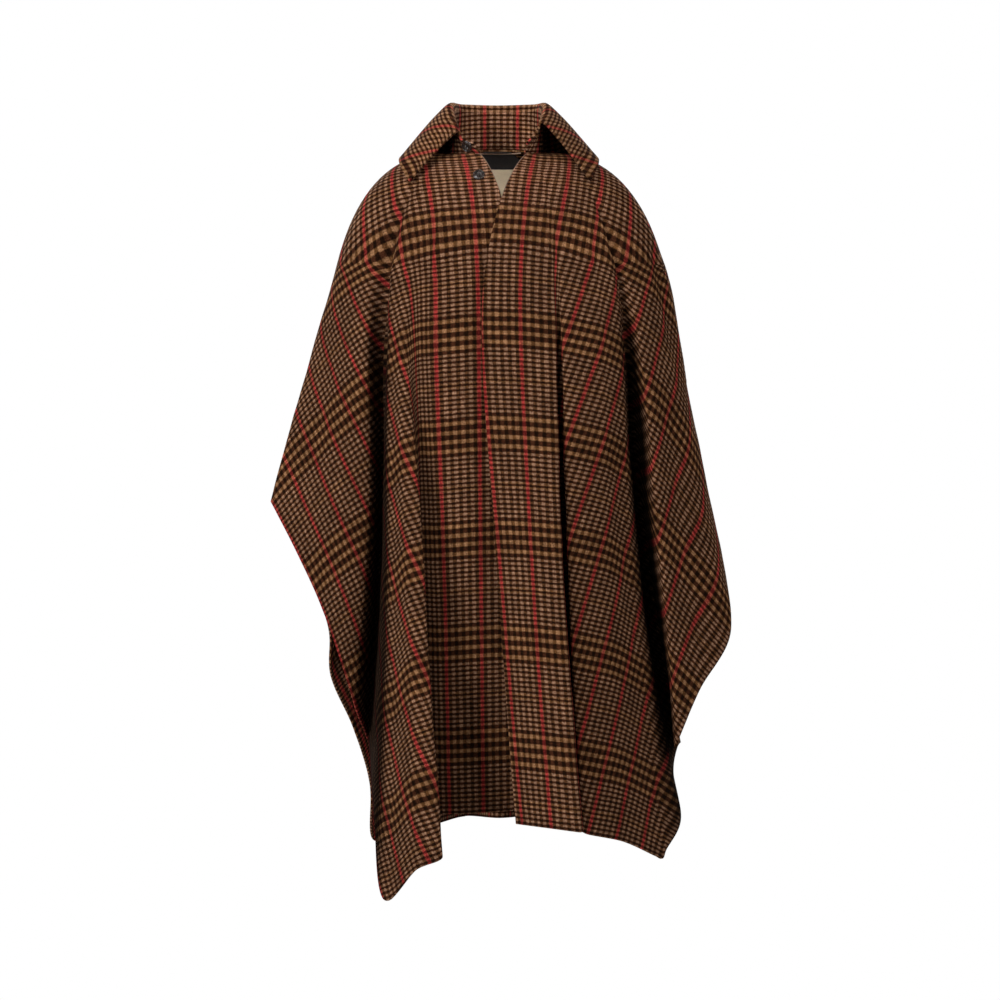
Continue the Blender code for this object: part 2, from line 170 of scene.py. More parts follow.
# The collar's roll line, and where the leaf's edge lies on the panels
COLLAR_SECTIONS = (
    Collar("right point", -33, -58, -51, 42, -46, 0.50),
    Collar("right front", -60, -68, -25, 72, -68, 0.37),
    Collar("right side", -90, -69, 6, 90, -92, 0.31),
    Collar("right back", -132, -52, 55, 94, -128, 0.40),
    Collar("centre back", -180, 0, 76, 95, -180, 0.42),
    Collar("left back", -228, 55, 55, 94, -232, 0.40),
    Collar("left side", -270, 72, 6, 90, -268, 0.31),
    Collar("left front", -298, 72, -22, 75, -292, 0.37),
    Collar("left point", -317, 66, -50, 57, -313, 0.50),
)
STAND_RIGHT_END = (-21, (-37.0, -61.0, 26.0))
STAND_LEFT_END = (-321, (46.0, -57.0, 27.0))
NECK_SEAM_RISE = np.array((0.0, 0.0, 0.6))
COLLAR_STEPS = 14
STAND_ROWS = 14
LEAF_STEPS = 9
LEAF_CLEAR = 1.2
ROLL_DROP = 9.0
ROLL_DEPTH = 4.0
ROLL_SHARE = 0.24
ROLL_RISE = 2.5
COLLAR_RIM_STEPS = 3

UP = np.array((0.0, 0.0, 1.0))


# Sizes and colours that a user may change

def length_property(name, description, default, least, most):
    return FloatProperty(
        name=name, description=description, default=default, min=least, max=most, unit="LENGTH")


def colour_property(name, description, default):
    return FloatVectorProperty(
        name=name, description=description, default=default, min=0.0, max=1.0, size=3, subtype="COLOR")


def power_property(name, description, default):
    return FloatProperty(
        name=name, description=description, default=default, min=0.0, max=2000.0, unit="POWER")


class CapeSizes(bpy.types.PropertyGroup):
    cloth: length_property("Cloth", "Thickness of the wool panels", 0.003, 0.001, 0.006)
    collar_cloth: length_property(
        "Collar cloth", "Thickness of the doubled collar cloth", 0.0034, 0.001, 0.006)
    placket_cloth: length_property("Placket cloth", "Thickness of the fly placket", 0.0022, 0.001, 0.004)
    rim: length_property("Rim", "Rounding of the cloth's cut edges", 0.0011, 0.0, 0.002)
    ripple: length_property(
        "Ripple", "Height of the soft unevenness of the hanging cloth", 0.0016, 0.0, 0.006)
    button_radius: length_property("Button radius", "Radius of the buttons", 0.009, 0.004, 0.02)


class CapeColours(bpy.types.PropertyGroup):
    pale_yarn: colour_property("Pale on pale", "Pale yarn where pale yarn crosses it", (0.34, 0.185, 0.11))
    gold_yarn: colour_property("Gold on pale", "Pale yarn where a gold row crosses it", (0.34, 0.17, 0.080))
    pale_row: colour_property("Pale on dark", "Pale row across dark yarn", (0.115, 0.048, 0.020))
    gold_row: colour_property("Gold on dark", "Gold row across dark yarn", (0.125, 0.053, 0.019))
    pale_stripe: colour_property("Dark on pale", "Pale stripe under a dark row", (0.060, 0.020, 0.009))
    dark_yarn: colour_property("Dark on dark", "Dark yarn where dark yarn crosses it", (0.014, 0.005, 0.002))
    red_yarn: colour_property("Red stripe", "Red yarn of each fifth stripe", (0.43, 0.044, 0.038))
    tape: colour_property("Neck tape", "Dark neck facing", (0.013, 0.007, 0.005))
    label: colour_property("Label", "Blank woven label", (0.86, 0.70, 0.46))
    piping: colour_property("Piping", "Pale piping inside the neck and on its edges", (0.60, 0.38, 0.26))
    horn: colour_property("Horn", "Dark polished buttons", (0.016, 0.010, 0.008))
    floor: colour_property("Floor", "Plain pale floor", (0.90, 0.90, 0.90))


def sizes():
    return bpy.context.scene.cape_sizes


def colours():
    return bpy.context.scene.cape_colours


def millimetres(metres):
    return metres / MM


# The cloth surface

def mix(low, high, share):
    return low + (high - low) * share


def unit(vectors):
    length = np.linalg.norm(vectors, axis=-1, keepdims=True)
    return vectors / np.maximum(length, 1e-9)


def outward(point):
    return unit(np.array((point[0], point[1], 0.0)))


def neck_point(bearing):
    turn = math.radians(bearing)
    ahead = math.cos(turn)
    depth = NECK_FRONT if ahead > 0 else NECK_BACK
    end_height = NECK_FRONT_HEIGHT if ahead > 0 else NECK_BACK_HEIGHT
    height = mix(NECK_SIDE_HEIGHT, end_height, abs(ahead))
    return np.array((NECK_HALF_WIDTH * math.sin(turn), -depth * ahead, height))


def yoke_point(bearing):
    turn = math.radians(bearing)
    across = math.sin(turn)
    half_width = YOKE_LEFT if across > 0 else YOKE_RIGHT
    return np.array((half_width * across, -YOKE_DEPTH * math.cos(turn), YOKE_HEIGHT))


def neck_bearing(bearing, on_left):
    """Bearing on the neck seam of the fold that leaves the yoke at bearing."""
    if on_left and bearing > -90:
        return mix(NECK_LEFT_END, 90, bearing / 90)
    if on_left and bearing < -270:
        return mix(NECK_LEFT_END, 90, (bearing + 360) / 90) - 360
    if not on_left and bearing > -90:
        return -mix(NECK_RIGHT_END, 90, -bearing / 90)
    return bearing


def shoulder_curve(bearing, on_left):
    """Neck point, rounding point and yoke point of one fold line."""
    neck = neck_point(neck_bearing(bearing, on_left))
    yoke = yoke_point(bearing)
    turn = math.radians(bearing)
    sideways = math.sin(turn) ** 2
    in_front = math.cos(turn) > 0
    across = mix(FULL_ACROSS_FRONT if in_front else FULL_ACROSS_BACK, FULL_ACROSS_SIDE, sideways)
    down = mix(FULL_DOWN_FRONT if in_front else FULL_DOWN_BACK, FULL_DOWN_SIDE, sideways)
    full = mix(neck, yoke, across)
    full[2] = mix(neck[2], yoke[2], down)
    if on_left and -90 < bearing < LAP_FADE:
        share = min(1.0, (LAP_FADE - bearing) / LAP_FADE)
        lift = LAP_LIFT * share * share * (3 - 2 * share)
        yoke[1] -= lift
        full[1] -= lift
    return neck, full, yoke


def on_shoulder(bearing, share, on_left):
    neck, full, yoke = shoulder_curve(bearing, on_left)
    return mix(mix(neck, full, share), mix(full, yoke, share), share)


def fold_line(fold, on_left):
    """Points from the neck to the hem."""
    neck, full, yoke = shoulder_curve(fold.bearing, on_left)
    yoke = yoke - outward(yoke) * fold.tuck
    share = np.linspace(0.0, 1.0, SHOULDER_ROWS, endpoint=False)[:, None]
    shoulder = mix(mix(neck, full, share), mix(full, yoke, share), share)
    share = np.linspace(0.0, 1.0, HANG_ROWS + 1)[:, None]
    hang = np.array((fold.x, fold.y, fold.z)) - yoke
    bow = np.array((fold.bow_x, fold.bow_y, 0.0)) * 4
    slope = (yoke - full) * (hang[2] / (yoke[2] - full[2]))
    settling = share * (1 - share) ** SETTLE
    hanging = yoke + hang * share + bow * share * (1 - share) + (slope - hang - bow) * settling
    return np.vstack((shoulder, hanging))


def yoke_arc(bearing):
    """Length along the yoke line from the front centre to a bearing."""
    turns = np.radians(np.linspace(0.0, bearing, YOKE_ARC_POINTS))
    half_width = np.where(np.sin(turns) > 0, YOKE_LEFT, YOKE_RIGHT)
    points = np.stack((half_width * np.sin(turns), YOKE_DEPTH * np.cos(turns)), axis=1)
    length = np.linalg.norm(np.diff(points, axis=0), axis=1).sum()
    return math.copysign(length, bearing)


def cut_line(fold, on_left, at_back):
    """Places on the flat cut of the points of a fold line."""
    side = 1.0 if on_left else -1.0
    bearing = fold.bearing
    if not at_back and bearing < -270:
        bearing += 360
    if at_back:
        seam = SEAM_LEFT if on_left else SEAM_RIGHT
        middle = yoke_arc(-180.0)
        share = (yoke_arc(bearing) - middle) / (yoke_arc(seam) - middle)
        neck_share = (bearing + 180.0) / (seam + 180.0)
        drop, level, lean = CUT_NECK_DROP_BACK, CUT_YOKE_BACK, 0.0
    else:
        seam = SEAM_LEFT + 360 if on_left else SEAM_RIGHT
        share = yoke_arc(bearing) / yoke_arc(seam)
        neck_share = neck_bearing(bearing, on_left) / neck_bearing(seam, on_left)
        drop, level, lean = CUT_NECK_DROP_FRONT, CUT_YOKE_FRONT, CUT_LEAN
    neck = np.array((side * CUT_NECK * neck_share, drop * (1 - neck_share ** 2)))
    yoke = np.array((side * mix(lean, CUT_YOKE, share), mix(level, CUT_YOKE_SIDE, share ** 2)))
    hem = np.array((fold.cut_u, fold.cut_v))
    down = np.linspace(0.0, 1.0, SHOULDER_ROWS, endpoint=False)[:, None]
    along = np.linspace(0.0, 1.0, HANG_ROWS + 1)[:, None]
    return np.vstack((mix(neck, yoke, down), mix(yoke, hem, along)))


def curve_through(lines, counts):
    """Centripetal Catmull-Rom curve across lines of points, row by row."""
    lines = [2 * lines[0] - lines[1], *lines, 2 * lines[-1] - lines[-2]]
    columns = [lines[1]]
    for index, count in enumerate(counts):
        a, b, c, d = lines[index:index + 4]
        t_b = np.linalg.norm(b - a, axis=1, keepdims=True) ** 0.5
        t_c = t_b + np.linalg.norm(c - b, axis=1, keepdims=True) ** 0.5
        t_d = t_c + np.linalg.norm(d - c, axis=1, keepdims=True) ** 0.5
        for step in range(1, count + 1):
            t = mix(t_b, t_c, step / count)
            ab = mix(a, b, t / t_b)
            bc = mix(b, c, (t - t_b) / (t_c - t_b))
            cd = mix(c, d, (t - t_c) / (t_d - t_c))
            abc = mix(ab, bc, t / t_c)
            bcd = mix(bc, cd, (t - t_b) / (t_d - t_b))
            columns.append(mix(abc, bcd, (t - t_b) / (t_c - t_b)))
    return np.stack(columns, axis=1)


def steps_along(grid, axis):
    """The way a grid's lines run at each point, half-way between neighbours."""
    way = unit(np.diff(grid, axis=axis))
    first = np.take(way, [0], axis=axis)
    last = np.take(way, [-1], axis=axis)
    return np.concatenate((first, way), axis=axis) + np.concatenate((way, last), axis=axis)


def normals_of(grid):
    """Normals of a grid of points, longer at a fold so that a wall keeps its thickness."""
    across = steps_along(grid, 1)
    down = steps_along(grid, 0)
    openness = np.linalg.norm(across, axis=2, keepdims=True) / 2
    openness[:, [0, -1]] = 1.0
    return unit(np.cross(across, down)) / np.maximum(openness, SHARPEST_FOLD)


def eased(grid, axis, passes):
    """The grid with its lines smoothed along an axis, and its edges kept."""
    grid = np.moveaxis(grid, axis, 0).copy()
    for _ in range(passes):
        grid[1:-1] = (grid[:-2] + 2 * grid[1:-1] + grid[2:]) / 4
    return np.moveaxis(grid, 0, axis)


Crease = namedtuple("Crease", "name way x_top z_top x_mid z_mid x_low z_low depth width")

# Soft troughs and ridges, as seen from the front or the back: way is the side
# that the cloth faces, -1 to the front, and a negative depth is a trough.
CREASES = (
    Crease("left arm", -1, 232, -120, 247, -195, 274, -330, -6.0, 5.0),
    Crease("beside left arm", -1, 246, -130, 261, -205, 286, -330, 3.0, 7.0),
    Crease("left shoulder pull", -1, 140, -40, 172, -140, 196, -270, -2.5, 13.0),
    Crease("left chest", -1, 96, -60, 108, -150, 104, -270, 2.5, 12.0),
    Crease("right shoulder pull", -1, -146, -40, -162, -112, -176, -200, -2.5, 13.0),
    Crease("right chest", -1, -70, -70, -90, -170, -98, -300, -2.0, 14.0),
    Crease("right valley head", -1, -172, -170, -173, -260, -170, -400, -6.0, 13.0),
    Crease("left valley head", -1, 190, -230, 206, -350, 222, -480, -4.0, 13.0),
    Crease("cone", -1, -118, -330, -118, -480, -112, -640, 3.0, 14.0),
    Crease("right wing", -1, -236, -230, -262, -370, -286, -500, -3.0, 10.0),
    Crease("left side", -1, 176, -420, 190, -560, 206, -720, -3.5, 14.0),
    Crease("back right pull", 1, -118, -60, -150, -150, -168, -270, -4.0, 10.0),
    Crease("back left pull", 1, 126, -52, 150, -160, 172, -290, -4.5, 9.0),
    Crease("back middle", 1, 14, -150, 8, -300, 4, -470, -3.0, 13.0),
    Crease("back right arm", 1, -232, -190, -248, -340, -268, -500, -4.0, 9.0),
    Crease("back left arm", 1, 246, -170, 262, -330, 284, -470, -4.0, 8.0),
)
CREASE_POINTS = 32
CREASE_FADE = 0.6

# Soft unevenness of the cloth: size of its swells, and where it fades out
RIPPLE_BROAD = 95.0
RIPPLE_SMALL = 34.0
RIPPLE_SMALL_SHARE = 0.3
RIPPLE_SMALL_START = Vector((7.0, 3.0, 5.0))
RIPPLE_TOP = 0.6
RIPPLE_EDGE = 12.0

# Painted shade: the cloth's colour is darkened where it lies deep in a fold, and most of all in the valleys
# beside the arms, where shade falls
PAINTED_SHADE_REACH = 240
PAINTED_SHADE_FULL_DEPTH = 24.0
PAINTED_SHADE_MOST = 0.6
PAINTED_SHADE_STRENGTH = 0.86
PAINTED_SHADE_VALLEYS = (("corner", "wing lip"), ("left lip", "corner side"))
VALLEY_SHADE_HEAD = 22
VALLEY_SHADE_EDGE = 5.0


def creased(points, facing):
    """Height of the creases at points of the cloth that face front or back."""
    height = np.zeros(points.shape[:2])
    share = np.linspace(0.0, 1.0, CREASE_POINTS)[:, None]
    strength = np.sin(math.pi * share[:, 0]) ** CREASE_FADE
    for crease in CREASES:
        top = np.array((crease.x_top, crease.z_top))
        middle = np.array((crease.x_mid, crease.z_mid))
        low = np.array((crease.x_low, crease.z_low))
        bend = 2 * middle - (top + low) / 2
        line = mix(mix(top, bend, share), mix(bend, low, share), share)
        away = np.linalg.norm(points[..., None, [0, 2]] - line, axis=-1)
        nearest = away.argmin(axis=-1)
        fall = np.exp(-0.5 * (away.min(axis=-1) / crease.width) ** 2)
        height += crease.depth * fall * strength[nearest] * (facing * crease.way > 0)
    return height


class Cape:
    """The cloth surface all round, from one front edge to the other."""

    def __init__(self):
        rows = [(fold, False, False) for fold in FRONT_RIGHT_FOLDS]
        rows += [(fold, fold.bearing < -180, True) for fold in BACK_FOLDS]
        rows += [(fold, True, False) for fold in FRONT_LEFT_FOLDS]
        self.names = [fold.name for fold, _, _ in rows]
        lines = [fold_line(fold, on_left) for fold, on_left, _ in rows]
        cuts = [cut_line(*row) for row in rows]
        gaps = [np.linalg.norm(after[-1] - before[-1]) for before, after in zip(lines, lines[1:])]
        counts = [max(FEWEST_COLUMNS, math.ceil(gap / COLUMN_STEP)) for gap in gaps]
        self.starts = np.concatenate(([0], np.cumsum(counts)))
        self.outer = curve_through(lines, counts)
        self.cut = eased(eased(self.spread(cuts, counts), 1, CUT_EASE_ACROSS), 0, CUT_EASE_DOWN)
        self.right_seam = self.column("right shoulder seam")
        self.left_seam = self.column("left shoulder seam")
        facing = unit(normals_of(self.outer))
        height = self.relief() + creased(self.outer, facing[..., 1])
        self.outer = self.outer + facing * height[..., None]
        self.normals = normals_of(self.outer)
        self.painted_fold_shade = self.painted_shade_in_folds()

    def painted_shade_in_folds(self):
        """Painted shade at each point, from its depth in a fold: 0 on open cloth, up to 1 well inside the
        valleys beside the arms.
        """
        evened = eased(self.outer, 1, PAINTED_SHADE_REACH)
        depth = ((evened - self.outer) * unit(self.normals)).sum(axis=2)
        painted_fold_shade = np.clip(depth / PAINTED_SHADE_FULL_DEPTH, 0.0, PAINTED_SHADE_MOST)
        rows, columns = painted_fold_shade.shape
        down = np.clip((np.arange(rows) - SHOULDER_ROWS) / VALLEY_SHADE_HEAD, 0.0, 1.0)[:, None]
        for names in PAINTED_SHADE_VALLEYS:
            first, last = (self.column(name) for name in names)
            share = (np.arange(columns) - first) / (last - first)
            inside = np.clip(VALLEY_SHADE_EDGE * np.minimum(share, 1 - share), 0.0, 1.0)
            painted_fold_shade = np.maximum(painted_fold_shade, down * inside)
        return painted_fold_shade

    def column(self, name, steps=0.0):
        """Column of a fold line, or of a place some lines further on."""
        return int(round(np.interp(self.names.index(name) + steps, range(len(self.starts)), self.starts)))

    def spread(self, cuts, counts):
        """Places on the cut between the fold lines, by length along the cloth."""
        columns = [cuts[0]]
        for index, count in enumerate(counts):
            part = self.outer[:, self.starts[index]:self.starts[index + 1] + 1]
            lengths = np.linalg.norm(np.diff(part, axis=1), axis=2)
            shares = np.cumsum(lengths, axis=1) / lengths.sum(axis=1, keepdims=True)
            for step in range(count):
                columns.append(mix(cuts[index], cuts[index + 1], shares[:, step:step + 1]))
        return np.stack(columns, axis=1)

    def relief(self):
        """Soft unevenness of the hanging cloth, none at the neck and the front edges."""
        height = millimetres(sizes().ripple)
        rows, columns = self.outer.shape[:2]
        down = np.clip(np.arange(rows) / SHOULDER_ROWS - RIPPLE_TOP, 0.0, 1.0)[:, None]
        place = np.arange(columns)
        edge = np.minimum(place, columns - 1 - place)
        fade = down * np.clip(edge / RIPPLE_EDGE, 0.0, 1.0)[None, :]
        rise = np.zeros((rows, columns))
        for row in range(rows):
            for column in range(columns):
                point = Vector(self.outer[row, column])
                broad = noise.noise(point / RIPPLE_BROAD)
                small = noise.noise(point / RIPPLE_SMALL + RIPPLE_SMALL_START)
                rise[row, column] = height * (broad + RIPPLE_SMALL_SHARE * small)
        return rise * fade


CAPE = []


def cape():
    """The cape's surface, worked out once."""
    if not CAPE:
        CAPE.append(Cape())
    return CAPE[0]


# Meshes

def show(mesh, name, material, node=None):
    data = bpy.data.meshes.new(name)
    mesh.to_mesh(data)
    mesh.free()
    data.shade_smooth()
    data.materials.append(material)
    piece = bpy.data.objects.new(name, data)
    bpy.context.scene.collection.objects.link(piece)
    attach(piece, BODY)
    if node:
        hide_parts(node)
    return piece


def wall(outer, inner, cut, rim, segments=2, painted_fold_shade=None):
    """A closed wall between two grids of points, with rounded rims."""
    rows, columns = outer.shape[0] - 1, outer.shape[1] - 1
    mesh = bmesh.new()
    shaded = mesh.verts.layers.float.new("painted_fold_shade")
    bmesh.ops.create_grid(mesh, x_segments=columns, y_segments=rows, size=0.5)
    layer = bmesh.ops.extrude_face_region(mesh, geom=mesh.faces[:], use_keep_orig=True)
    copied = {item for item in layer["geom"] if isinstance(item, bmesh.types.BMVert)}
    uv = mesh.loops.layers.uv.new("cut")
    places = {}
    flat = cut * MM
    for vertex in mesh.verts:
        column = round((vertex.co.x + 0.5) * columns)
        row = round((vertex.co.y + 0.5) * rows)
        places[vertex] = (row, column, vertex in copied)
        vertex.co = (inner if vertex in copied else outer)[row, column] * MM
        # The painted fold shade is stored on the outer face's points
        if painted_fold_shade is not None and vertex not in copied:
            vertex[shaded] = painted_fold_shade[row, column]
    for face in mesh.faces:
        for loop in face.loops:
            row, column, _ = places[loop.vert]
            loop[uv].uv = flat[row, column]
    bmesh.ops.recalc_face_normals(mesh, faces=mesh.faces[:])
    if rim > 0:
        edges = [edge for edge in mesh.edges if on_rim(edge, places, rows, columns)]
        bmesh.ops.bevel(
            mesh, geom=edges, offset=rim, offset_type="OFFSET", affect="EDGES",
            segments=segments, profile=0.5, material=-1, clamp_overlap=True)
    return mesh


def on_rim(edge, places, rows, columns):
    first, second = (places[vertex] for vertex in edge.verts)
    if first[2] != second[2]:
        return False
    along_row = first[0] == second[0] and first[0] in (0, rows)
    along_column = first[1] == second[1] and first[1] in (0, columns)
    return along_row or along_column


def drawn_in(grid, at_start, at_end):
    """The grid with its first or last column drawn back by half a seam gap."""
    grid = grid.copy()
    if at_start:
        grid[:, 0] += unit(grid[:, 1] - grid[:, 0]) * SEAM_GAP / 2
    if at_end:
        grid[:, -1] += unit(grid[:, -2] - grid[:, -1]) * SEAM_GAP / 2
    return grid


# Materials

NOISE_LOW = 0.3
NOISE_HIGH = 0.7


class Nodes:
    """A material's node tree, built node by node."""

    def __init__(self, name):
        self.material = bpy.data.materials.new(name)
        self.material.use_nodes = True
        self.tree = self.material.node_tree
        self.shader = self.tree.nodes["Principled BSDF"]

    def add(self, kind, inputs=(), **settings):
        node = self.tree.nodes.new(kind)
        for key, value in settings.items():
            setattr(node, key, value)
        for socket, value in dict(inputs).items():
            self.give(node.inputs[socket], value)
        return node

    def give(self, socket, value):
        if isinstance(value, bpy.types.NodeSocket):
            self.tree.links.new(value, socket)
        else:
            socket.default_value = value

    def math(self, operation, *values):
        node = self.add("ShaderNodeMath", enumerate(values), operation=operation)
        return node.outputs[0]

    def step(self, value, low, high):
        """0 below low, 1 above high, and a soft step between."""
        node = self.add(
            "ShaderNodeMapRange",
            {"Value": value, "From Min": low, "From Max": high},
            interpolation_type="SMOOTHSTEP")
        return node.outputs["Result"]

    def between(self, value, low, high):
        """A noise's middle range, drawn out from low to high."""
        node = self.add(
            "ShaderNodeMapRange",
            {"Value": value, "From Min": NOISE_LOW, "From Max": NOISE_HIGH, "To Min": low, "To Max": high})
        return node.outputs["Result"]

    def blend(self, factor, first, second):
        node = self.add("ShaderNodeMix", data_type="RGBA")
        self.give(node.inputs[0], factor)
        self.give(node.inputs[6], first)
        self.give(node.inputs[7], second)
        return node.outputs[2]

    def noise(self, place, scale, detail=2.0):
        node = self.add("ShaderNodeTexNoise", {"Vector": place, "Scale": scale, "Detail": detail})
        return node

    def bump(self, height, distance, strength=1.0):
        node = self.add("ShaderNodeBump", {"Height": height, "Distance": distance, "Strength": strength})
        self.tree.links.new(node.outputs["Normal"], self.shader.inputs["Normal"])

    def set(self, **values):
        for key, value in values.items():
            self.give(self.shader.inputs[key.replace("_", " ")], value)


def rgba(colour):
    return (*colour, 1.0)


# The check: spacing of its stripes and rows on the flat cut
WARP_STEP = 10.7
RED_STEP = 5 * WARP_STEP
WEFT_REPEAT = 152.0
HEAVY_ZONE = 54.0
HEAVY_STEP = 13.5
FINE_STEP = 7.0
TWILL_STEP = 1.9
RED_WIDTH = 4.6
RED_OUTSIDE = 0.05
RED_INSIDE = 0.03
FUZZ = 3.4

# Softness of the stripes' and rows' edges, as levels of their waves
STRIPE_EDGES = (-0.6, 0.65)
HEAVY_EDGES = (-0.25, 0.75)
FINE_EDGES = (-0.6, 0.7)

# How gold the middle row is, how red turns orange on gold, and how dark it is on dark rows
GOLD_ROW = 0.8
RED_TO_GOLD = 0.3
RED_ON_DARK = 0.30

# Nap and yarns: noise scales for each metre, how far they lighten and darken, and their relief
FUZZ_SCALE = 380.0
NAP_SCALE = 700.0
FINE_DETAIL = 4.0
BROAD_SCALE = 22.0
BROAD_DETAIL = 3.0
YARN_ACROSS = 520.0
YARN_ALONG = 45.0
YARN_TONES = (0.72, 1.28)
BROAD_TONES = (0.86, 1.12)
NAP_TONES = (0.42, 1.58)
TWILL_HEIGHT = 0.25
FUZZ_HEIGHT = 1.4
NAP_BUMP = 0.0009
NAP_STRENGTH = 0.9


def wave(nodes, place, step, shift=0.0):
    """A cosine along a place, with a crest at shift and then at each step."""
    turns = nodes.math("MULTIPLY_ADD", place, 2 * math.pi / (step * MM), -2 * math.pi * shift / step)
    return nodes.math("COSINE", turns)


def streaks(nodes, place, stretch):
    """Unevenness of the yarns, drawn out along them."""
    drawn = nodes.add("ShaderNodeVectorMath", {0: place, 1: stretch}, operation="MULTIPLY").outputs[0]
    return nodes.between(nodes.noise(drawn, 1.0).outputs["Fac"], *YARN_TONES)


def check_wool(name, shift, gold=0.0):
    """Checked wool whose pattern follows the flat cut, moved by shift."""
    palette = colours()
    nodes = Nodes(name)
    uv = nodes.add("ShaderNodeUVMap", uv_map="cut").outputs[0]
    fuzz = nodes.noise(uv, FUZZ_SCALE, FINE_DETAIL)
    loose = nodes.add(
        "ShaderNodeVectorMath",
        {0: fuzz.outputs["Color"], 1: (FUZZ * MM, FUZZ * MM, 0.0),
         2: ((-shift[0] - FUZZ / 2) * MM, (-shift[1] - FUZZ / 2) * MM, 0.0)},
        operation="MULTIPLY_ADD").outputs[0]
    place = nodes.add("ShaderNodeVectorMath", {0: uv, 1: loose}, operation="ADD").outputs[0]
    split = nodes.add("ShaderNodeSeparateXYZ", {0: place})
    along, down = split.outputs[0], split.outputs[1]

    stripe = nodes.step(wave(nodes, along, WARP_STEP), *STRIPE_EDGES)
    red_edge = math.cos(math.pi * RED_WIDTH / RED_STEP)
    red = nodes.step(wave(nodes, along, RED_STEP), red_edge - RED_OUTSIDE, red_edge + RED_INSIDE)

    repeat = nodes.math("FLOORED_MODULO", down, WEFT_REPEAT * MM)
    heavy = nodes.step(wave(nodes, repeat, HEAVY_STEP, HEAVY_STEP / 2), *HEAVY_EDGES)
    fine = nodes.step(wave(nodes, repeat, FINE_STEP, HEAVY_ZONE + FINE_STEP / 2), *FINE_EDGES)
    in_heavy = nodes.math("LESS_THAN", repeat, HEAVY_ZONE * MM)
    row = nodes.add(
        "ShaderNodeMix", {0: in_heavy, 2: fine, 3: heavy}, data_type="FLOAT").outputs[0]
    middle = HEAVY_ZONE + (WEFT_REPEAT - HEAVY_ZONE) / 2
    gold_row = nodes.math("COMPARE", repeat, middle * MM, FINE_STEP * MM / 2)
    golden = nodes.math("MAXIMUM", in_heavy, nodes.math("MULTIPLY_ADD", gold_row, GOLD_ROW, gold))

    light_row = nodes.blend(
        stripe, nodes.blend(golden, rgba(palette.pale_row), rgba(palette.gold_row)),
        nodes.blend(golden, rgba(palette.pale_yarn), rgba(palette.gold_yarn)))
    dark_row = nodes.blend(stripe, rgba(palette.dark_yarn), rgba(palette.pale_stripe))
    deep_red = [RED_ON_DARK * value for value in palette.red_yarn]
    orange = nodes.blend(
        nodes.math("MULTIPLY", golden, RED_TO_GOLD), rgba(palette.red_yarn), rgba(palette.gold_yarn))
    light_row = nodes.blend(red, light_row, orange)
    dark_row = nodes.blend(red, dark_row, rgba(deep_red))
    cloth = nodes.blend(row, dark_row, light_row)

    twill = wave(nodes, nodes.math("ADD", along, down), TWILL_STEP)
    uneven = nodes.math(
        "MULTIPLY", streaks(nodes, uv, (YARN_ACROSS, YARN_ALONG, 1.0)),
        streaks(nodes, uv, (YARN_ALONG, YARN_ACROSS, 1.0)))
    tone = nodes.between(nodes.noise(uv, BROAD_SCALE, BROAD_DETAIL).outputs["Fac"], *BROAD_TONES)
    nap = nodes.noise(uv, NAP_SCALE, FINE_DETAIL).outputs["Fac"]
    grain = nodes.between(nap, *NAP_TONES)
    # Painted shade: the colour is darkened by the fold-shade attribute deep in folds and across the arm
    # valleys, on top of the yarns' real tone
    painted_fold_shade = nodes.add("ShaderNodeAttribute", attribute_name="painted_fold_shade").outputs["Fac"]
    painted_darkening = nodes.math("MULTIPLY_ADD", painted_fold_shade, -PAINTED_SHADE_STRENGTH, 1.0)
    tone_and_painted_shade = nodes.math(
        "MULTIPLY", nodes.math("MULTIPLY", tone, painted_darkening), nodes.math("MULTIPLY", grain, uneven))
    shaded = nodes.add(
        "ShaderNodeVectorMath", {0: cloth, 3: tone_and_painted_shade}, operation="SCALE").outputs[0]
    height = nodes.math(
        "ADD", nodes.math("MULTIPLY", twill, TWILL_HEIGHT),
        nodes.math("MULTIPLY_ADD", fuzz.outputs["Fac"], FUZZ_HEIGHT, nap))
    nodes.bump(height, NAP_BUMP, NAP_STRENGTH)
    nodes.set(
        Base_Color=shaded, Roughness=0.95, Specular_IOR_Level=0.04,
        Sheen_Weight=0.01, Sheen_Roughness=0.45, Sheen_Tint=(0.55, 0.38, 0.28, 1.0))
    return nodes.material


# Plain weave: clouding of its colour, and its relief
WEAVE_SCALE = 120.0
WEAVE_CLOUD = 0.8
WEAVE_DARK = 0.72
WEAVE_EDGES = (-0.8, 1.2)
WEAVE_BUMP = 0.0002
WEAVE_STRENGTH = 0.6


def woven(name, colour, thread, roughness):
    """A plain woven tape or label."""
    nodes = Nodes(name)
    uv = nodes.add("ShaderNodeUVMap", uv_map="cut").outputs[0]
    split = nodes.add("ShaderNodeSeparateXYZ", {0: uv})
    over = nodes.math(
        "MULTIPLY", wave(nodes, split.outputs[0], thread), wave(nodes, split.outputs[1], thread))
    cloudy = nodes.noise(uv, WEAVE_SCALE).outputs["Fac"]
    dark = [WEAVE_DARK * value for value in colour]
    weave = nodes.step(nodes.math("MULTIPLY_ADD", cloudy, WEAVE_CLOUD, over), *WEAVE_EDGES)
    nodes.set(Base_Color=nodes.blend(weave, rgba(dark), rgba(colour)), Roughness=roughness)
    nodes.bump(over, WEAVE_BUMP, WEAVE_STRENGTH)
    return nodes.material


HORN_SCALE = 210.0
HORN_WARM = 3.2
HORN_EDGES = (0.42, 0.72)
HORN_ROUGH = 0.16
HORN_ROUGHER = 0.2


